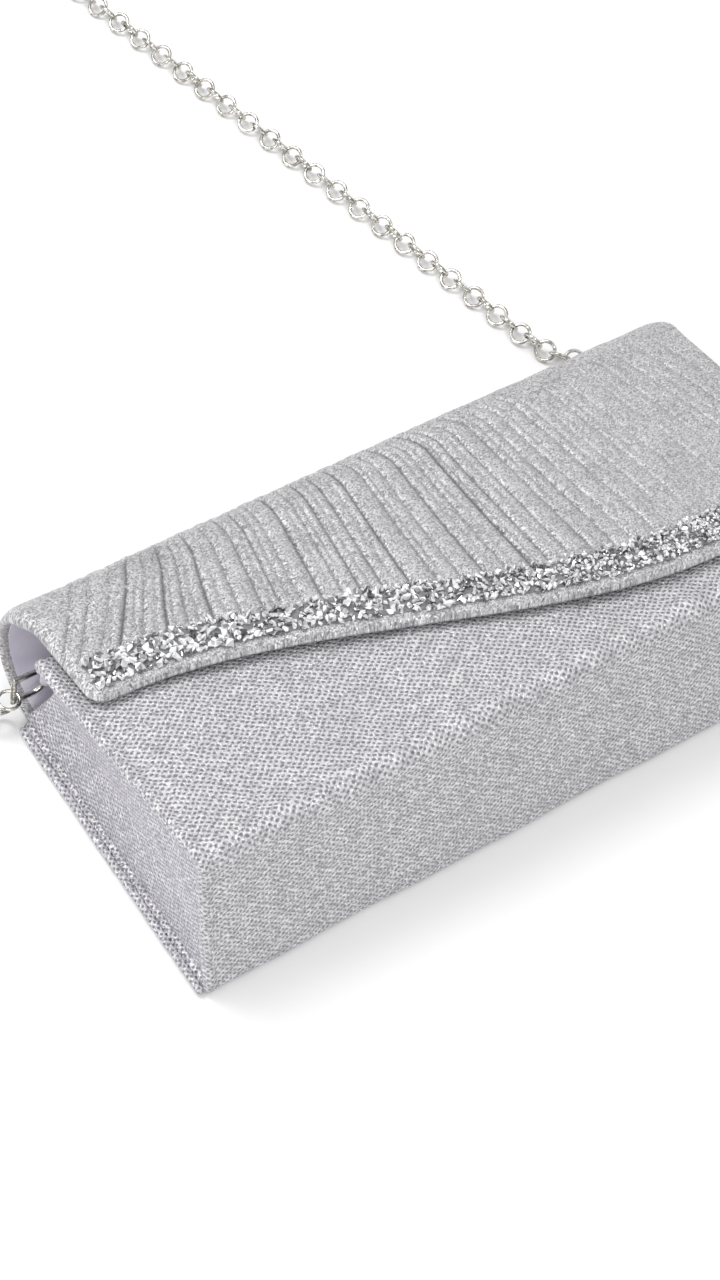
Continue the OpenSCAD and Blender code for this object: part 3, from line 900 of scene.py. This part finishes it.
def ring_tab(side):
    """A ribbon that loops round a ring's bow, its two ends sewn to the lining of the roll."""
    word = "right" if side > 0 else "left"
    pivot = np.array(JOINTS[f"ring_swing_{word}"]["pos_m"]) * MM
    low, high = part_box(f"ring_tab_{word}")
    loop_r, tail, neck, half_gap = 2.25, 13.0, 3.4, 0.42
    turn = np.radians(np.linspace(-155, 155, 22))
    bow = np.stack([loop_r * np.cos(turn), loop_r * np.sin(turn)], axis=1)
    there = np.stack([np.linspace(-tail, -neck, 9), np.full(9, -half_gap)], axis=1)
    path = np.vstack([there, bow, there[::-1] * (1, -1)])
    top = high.z * MM
    narrow = top - 5.0
    foot = narrow - (narrow - low.z * MM) * smooth((-path[:, 0] - 4) / 7)
    t = np.linspace(0, 1, 7)
    z = foot[:, None] * (1 - t) + top * t
    x = pivot[0] + side * np.broadcast_to(path[:, :1], z.shape)
    y = pivot[1] + np.broadcast_to(path[:, 1:], z.shape)
    length = np.broadcast_to(run_length(path)[:, None], z.shape)
    piece = cloth(f"ring_ribbon_{word}", np.stack([x, y, z], axis=2), 0.45 * side, (length, z))
    finish(piece, SATIN, [f"ring_tab_{word}"])
    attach(piece, "bag")


# ---- roll and flap
# Main folds of the pleated fabric, by their place along the hinge at the flap's start
MAIN_FOLDS = (-109, -103, -96, -90, -84, -78, -73, -67, -60, -54, -49, -43, -37, -31, -26, -20, -13, -6,
              0, 6, 12, 18, 23, 29, 35, 41, 46, 53, 60, 66, 73, 81, 88, 95, 103, 110)
ROUND_OVER = 2.2  # radius of the flap's turned edge
COVER_H = 0.25  # height of the fabric over the CAD's hinge radius
STEEP_SIDE = 0.38  # how wide a fold's groove is on its steep side
EASY_SIDE = 0.9  # and on the other
HEM = 6.5  # width of fabric turned under the flap


def edge_line(x):
    """How far the flap's edge lies from the flap's start, at x."""
    return FLAP_SHORT + (FLAP_LONG - FLAP_SHORT) * smooth((x - WAVE_START) / (WAVE_END - WAVE_START))


def edge_cos(x):
    """How much shorter a step square to the edge is than the same step along the flap."""
    return 1 / np.hypot(1, edge_line(x + 0.5) - edge_line(x - 0.5))


def edge_reach(x, inset):
    """Where the flap's outline, drawn in by inset and with its round corners, lies at x."""
    radius = np.where(x < 0, LEFT_CORNER, RIGHT_CORNER) - min(inset, 4.0)
    side = np.clip(FLAP_HALF - inset - np.abs(x), 0, radius)
    cut = radius - np.sqrt(radius**2 - (radius - side) ** 2)
    return edge_line(x) - (inset + cut) / edge_cos(x)


def edge_distance(x, s, inset):
    """How far a place on the flap is inside its outline."""
    radius = np.where(x < 0, LEFT_CORNER, RIGHT_CORNER) - min(inset, 4.0)
    side = FLAP_HALF - inset - np.abs(x)
    end = (edge_line(x) - s) * edge_cos(x) - inset
    corner = radius - np.hypot(radius - side, radius - end)
    return np.where((side < radius) & (end < radius), corner, np.minimum(side, end))


def flap_places(inset, round_over, column_step, row_step):
    """Places on the roll and the flap, drawn in by inset: x along the hinge, s past the flap's start."""
    half = FLAP_HALF - inset
    near = round_over * (1 - np.cos(np.linspace(0, math.pi / 2, 6)))[:-1]
    flat_half = half - round_over
    middle = np.linspace(-flat_half, flat_half, round(2 * flat_half / column_step))
    x = np.concatenate([-half + near, middle, half - near[::-1]])
    reach = edge_reach(x, inset)
    arc = np.concatenate([-ARC_LEN + near, np.arange(-ARC_LEN + round_over, -row_step / 2, row_step)])
    rows = round((FLAP_LONG - round_over) / row_step)
    flap = np.linspace(0, 1, rows)[:, None] * (reach - round_over)
    last = reach - near[::-1, None]
    s = np.vstack([np.broadcast_to(arc[:, None], (len(arc), len(x))), flap, last])
    return np.broadcast_to(x, s.shape), s


def on_flap(x, s, height):
    """A point on the roll (s below 0) or the flap, at a height from the hinge's axis."""
    turn = math.pi / 2 - FRONT_SLOPE + np.minimum(s, 0) / HINGE_R
    y = HINGE[0] + np.cos(turn) * height + FLAP_DIR[0] * np.maximum(s, 0)
    z = HINGE[1] + np.sin(turn) * height + FLAP_DIR[1] * np.maximum(s, 0)
    wider = 1 + (ROLL_WIDER / FLAP_HALF) * smooth(-s / 12)
    return np.stack([x * wider, y, z], axis=-1)


def flap_share(s):
    """How much of the flap's turn a place on the roll makes."""
    return np.clip(1 + np.minimum(s, 0) / ARC_LEN, 0, 1)


def under_height(s):
    """Height of the under side: the flap is thicker than the roll."""
    return ROLL_UNDER - (ROLL_UNDER - FLAP_UNDER) * smooth(1 + s / 24)


def fold_lines():
    """Every fold: its place, depth, and where along the flap it fades in and out."""
    rng = np.random.default_rng(12)
    rows = []
    for here, after in zip(MAIN_FOLDS, MAIN_FOLDS[1:] + (118,)):
        calm = smooth((here - 20) / 50)
        depth = rng.uniform(0.6, 1.0) * (1 - 0.45 * calm) + 0.1 * smooth((-50 - here) / 30)
        rows.append((here, depth, -90, 120 - calm * rng.uniform(55, 95)))
        if rng.uniform() < 0.75:
            place = here + (after - here) * rng.uniform(0.35, 0.65)
            start, end = rng.uniform(-60, -5), rng.uniform(12, 45)
            rows.append((place, rng.uniform(0.25, 0.55) * (1 - 0.4 * calm), start, end))
    rows = [(-140, 0, -90, 120)] + rows + [(140, 0, -90, 120)]
    return np.array(rows).T


def pleat_slant(x):
    """How far the folds lean along the hinge for each millimetre down the flap."""
    return -0.16 + 0.0025 * (np.clip(x, -60, 120) + 20) - 0.5 * smooth((-52 - x) / 45)


def pleats(x, s):
    """Height of the pleated fabric over its foam, and how deep in a fold each place is, which paints shade
    in the folds.
    """
    down = np.maximum(s, -14)
    start_guess = x - pleat_slant(x) * down * 0.9
    over = 8 * smooth((x + 25) / 55) * smooth(-s / 24)
    label = x - pleat_slant(start_guess) * down + over + 0.3 * np.sin(s / 15 + x / 31)
    place, depth, start, end = fold_lines()
    right = np.clip(np.searchsorted(place, label), 1, len(place) - 1)
    left = right - 1
    width = place[right] - place[left]

    def strength(fold):
        """A fold's depth, which fades in past its start and out past its end."""
        return depth[fold] * smooth((s - start[fold]) / 12) * (1 - smooth((s - end[fold]) / 16))

    past, before = label - place[left], place[right] - label
    left_fold, right_fold = strength(left), strength(right)
    groove = left_fold * np.exp(-past / STEEP_SIDE) + right_fold * np.exp(-before / EASY_SIDE)
    crown = 0.35 * np.sin(math.pi * np.clip(past / width, 0, 1)) * np.maximum(left_fold, right_fold)
    held = 1 - 0.8 * smooth((s - edge_line(x) + TRIM_BORDER + TRIM_WIDTH + 2) / 5)
    resting = smooth((s + ARC_LEN) / 22)
    loose = ripple(x + 0.6 * s, s * 0.4, 6, (48, 30, 19), 0.3) * (0.35 + 0.65 * smooth((x - 20) / 60))
    height = (0.9 - groove + crown) * (1 - 0.35 * smooth((x - 50) / 40))
    return (height + loose) * held * resting, np.clip(groove * held * resting * 1.1, 0, 1)


def pleated_cover():
    """Pleated glitter fabric over the roll and the flap, turned under all round the flap."""
    x, s = flap_places(0.0, ROUND_OVER, 0.42, 1.15)
    lift, fold = pleats(x, s)
    upper, under = HINGE_R + COVER_H + lift, under_height(s)
    inside = np.minimum(edge_distance(x, s, 0.0) / ROUND_OVER, (s + ARC_LEN) / 0.8)
    curve = np.sqrt(1 - (1 - np.clip(inside, 0, 1)) ** 2)
    resting = smooth((s + ARC_LEN) / 22)
    upper = HINGE_R + (upper - HINGE_R) * (0.35 * resting + 0.65 * smooth(inside / 2))
    middle = (upper + under) / 2
    top, below = middle + (upper - middle) * curve, middle - (middle - under) * curve
    # The fold values go with the mesh, to paint shade down in the pleats.
    piece = shell("pleated_cover", on_flap(x, s, top), on_flap(x, s, below), (x, s), {"fold": fold})
    bend(piece, flap_share(s))
    finish(piece, LUREX, ["hinge_cover", "flap_cover"])


def wadding():
    """The foam under the pleats."""
    x, s = flap_places(3.4, 1.2, 4.0, 3.0)
    piece = shell("flap_wadding", on_flap(x, s, FOAM_TOP), on_flap(x, s, FOAM_UNDER), (x, s))
    bend(piece, flap_share(s))
    finish(piece, WADDING, ["hinge_padding", "flap_padding"])


def flap_stiffener():
    """The flap's board, inside the turned fabric."""
    x, s = flap_places(2.4, 0.3, 4.0, 3.0)
    rows = s.min(axis=1) >= 0
    x, s = x[rows], s[rows]
    piece = shell("flap_stiffener", on_flap(x, s, BOARD_TOP), on_flap(x, s, BOARD_UNDER), (x, s))
    finish(piece, BOARD, ["flap_board"])
    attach(piece, "flap")


def flap_lining():
    """Satin inside the roll and under the flap, inside the flap's turned hem."""
    x, s = flap_places(HEM, 1.5, 2.2, 1.8)
    wide = 1 + (4.0 / FLAP_HALF) * smooth(-s / 14)
    calm = smooth(edge_distance(x, s, HEM) / 9) * smooth((s + ARC_LEN) / 10)
    height = under_height(s) - 0.12 - calm * np.abs(ripple(x, s, 19, (61, 37, 23), 0.5)) * 0.8
    grid = on_flap(x * wide, s, height)
    piece = cloth("roll_and_flap_lining", grid, -0.3, (x, s))
    bend(piece, flap_share(s))
    finish(piece, SATIN, ["hinge_lining", "flap_lining"])
    steps = np.linspace(-111, 111, 240)
    row = on_flap(steps, edge_reach(steps, HEM + 1.5), FLAP_UNDER - 0.45)
    stitches("flap_stitches", [row], "flap")


def trim_tape():
    """The narrow backing that the stones are glued to. Its dark colour also paints the shade in the gaps
    between the stones.
    """
    half = TRIM_HALF + 0.5
    gx, across = np.meshgrid(np.linspace(-half, half, 150), np.linspace(0.6, TRIM_WIDTH - 0.6, 9))
    s = edge_line(gx) - TRIM_BORDER - across
    height = HINGE_R + 0.55 + 0.3 * np.sin(math.pi * across / TRIM_WIDTH)
    piece = cloth("trim_tape", on_flap(gx, s, height), -0.35, (gx, s))
    finish(piece, TAPE)
    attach(piece, "flap")


CHIP_SHAPES = 18
CHIP_PITCHES = (1.75, 2.6)  # of the lower and the upper layer
CHIP_POINTS = 14
CHIP_LARGE = 1.75  # usual half length of a chip at the flap's short end
CHIP_SMALL = 1.13  # and at its long end
LEFT_OUT = 0.35  # share of the places in the upper layer that have no chip


def chip_shape(rng):
    """A small sharp-edged chip: the hull of a few points."""
    bm = bmesh.new()
    for _ in range(CHIP_POINTS):
        spot = unit(rng.normal(size=3)) * rng.uniform(0.8, 1.0)
        bm.verts.new(spot * (1.0, 0.75, 0.5))
    hull = bmesh.ops.convex_hull(bm, input=bm.verts)
    inner = {v for v in hull["geom_interior"] if isinstance(v, bmesh.types.BMVert)}
    bmesh.ops.delete(bm, geom=list(inner), context="VERTS")
    bm.verts.index_update()
    points = np.array([v.co for v in bm.verts])
    faces = [[v.index for v in f.verts] for f in bm.faces]
    bm.free()
    return points, faces


def stone_trim():
    """Crushed stones along the flap's edge: larger chips at the short end, finer ones at the long end."""
    rng = np.random.default_rng(23)
    shapes = [chip_shape(rng) for _ in range(CHIP_SHAPES)]
    on_band = np.array([(1.0, 0.0, 0.0), (0.0, *FLAP_DIR), (0.0, *FRONT_OUT)])
    points, faces, tones, count = [], [], [], 0
    for layer, pitch in enumerate(CHIP_PITCHES):
        x = -TRIM_HALF
        while x < TRIM_HALF:
            fine = smooth((x + 100) / 180)
            step = pitch * (1.15 - 0.42 * fine)
            for v in np.arange(TRIM_BORDER + 0.8, TRIM_BORDER + TRIM_WIDTH - 0.4, step):
                if layer and rng.uniform() < LEFT_OUT:
                    continue
                size = (CHIP_LARGE - (CHIP_LARGE - CHIP_SMALL) * fine) * rng.uniform(0.6, 1.25)
                spot_x, spot_v = x + rng.normal(0, 0.5), v + rng.normal(0, 0.45)
                turn = Matrix.Rotation(rng.uniform(0, 2 * math.pi), 3, "Z")
                tips = [Matrix.Rotation(rng.normal(0, 0.5), 3, axis) for axis in "XY"]
                shape, sides = shapes[rng.integers(len(shapes))]
                local = size * shape @ np.array(tips[0] @ tips[1] @ turn).T
                height = HINGE_R + 1.25 + 0.65 * layer + rng.uniform(-0.15, 0.3)
                centre = on_flap(spot_x, edge_line(spot_x) - spot_v, height)
                points.append(centre + local @ on_band)
                faces += [[k + count for k in side] for side in sides]
                tones += [rng.uniform()] * len(shape)
                count += len(shape)
            x += step
    piece = build("stone_chips", np.vstack(points), faces, values={"chip": tones}, flat=True)
    finish(piece, STONES, ["stone_trim"])
    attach(piece, "flap")


def fittings():
    """The CAD nodes that stay: the snap with its magnet and washers, the rings and their end links."""
    kinds = {
        METAL: ("snap_socket", "socket_washer", "snap_stud", "stud_washer",
                "d_ring_left", "d_ring_right", "end_link_left", "end_link_right"),
        FERRITE: ("snap_magnet",),
    }
    for material, names in kinds.items():
        for name in names:
            node = frame["nodes"][name]
            node.data.materials.clear()
            node.data.materials.append(material)


# ---- floor and light
TABLE_HALF = 6000.0
TABLE_TOP = -0.3  # just clear of the bag's lowest points


def area_light(name, place, aim, size, power):
    """A round lamp, in metres and watts."""
    data = bpy.data.lights.new(name, "AREA")
    data.shape = "DISK"
    data.size = size
    data.energy = power
    lamp = bpy.data.objects.new(name, data)
    bpy.context.scene.collection.objects.link(lamp)
    lamp.location = place
    lamp.rotation_euler = (Vector(place) - Vector(aim)).to_track_quat("Z", "Y").to_euler()


def surround():
    """An even white room that is brighter overhead than at the horizon."""
    world = bpy.data.worlds.new("surround")
    world.use_nodes = True
    tree = world.node_tree
    backdrop = tree.nodes["Background"]
    height = tree.nodes.new("ShaderNodeSeparateXYZ")
    brighter = tree.nodes.new("ShaderNodeMapRange")
    for key, value in {"From Min": 0.05, "From Max": 0.75, "To Min": 0.34, "To Max": 0.76}.items():
        brighter.inputs[key].default_value = value
    tree.links.new(tree.nodes.new("ShaderNodeTexCoord").outputs["Generated"], height.inputs[0])
    tree.links.new(height.outputs["Z"], brighter.inputs["Value"])
    tree.links.new(brighter.outputs[0], backdrop.inputs["Strength"])
    backdrop.inputs["Color"].default_value = colour(1.0, 1.0, 1.0)
    bpy.context.scene.world = world


def studio():
    """A pale table, an even white surround, and soft lamps above."""
    corners = [(x * TABLE_HALF, y * TABLE_HALF, TABLE_TOP) for x, y in ((-1, -1), (1, -1), (1, 1), (-1, 1))]
    table = build("table", corners, [(0, 1, 2, 3)])
    table.data.materials.append(table_top("table_top"))
    surround()
    area_light("overhead", (-0.3, 0.65, 1.2), (0, 0, 0), 0.6, 8.5)
    area_light("front_fill", (-0.7, -0.9, 0.9), (0, 0, 0), 0.7, 4.5)
    area_light("side_fill", (-0.9, 0.15, 0.4), (-0.1, 0.02, 0.02), 0.5, 1.0)
    area_light("glint", (0.5, -0.3, 1.2), (0, 0, 0), 0.12, 1.8)
    bpy.context.scene.view_settings.view_transform = "Standard"


# ---- the whole scene
camera()
chain()
body_skin()
boards()
body_lining()
mouth_facing()
for side in (-1, 1):
    gusset(side)
    binding(side)
    ring_tab(side)
inner_pocket()
pleated_cover()
wadding()
flap_stiffener()
flap_lining()
trim_tape()
stone_trim()
fittings()
studio()
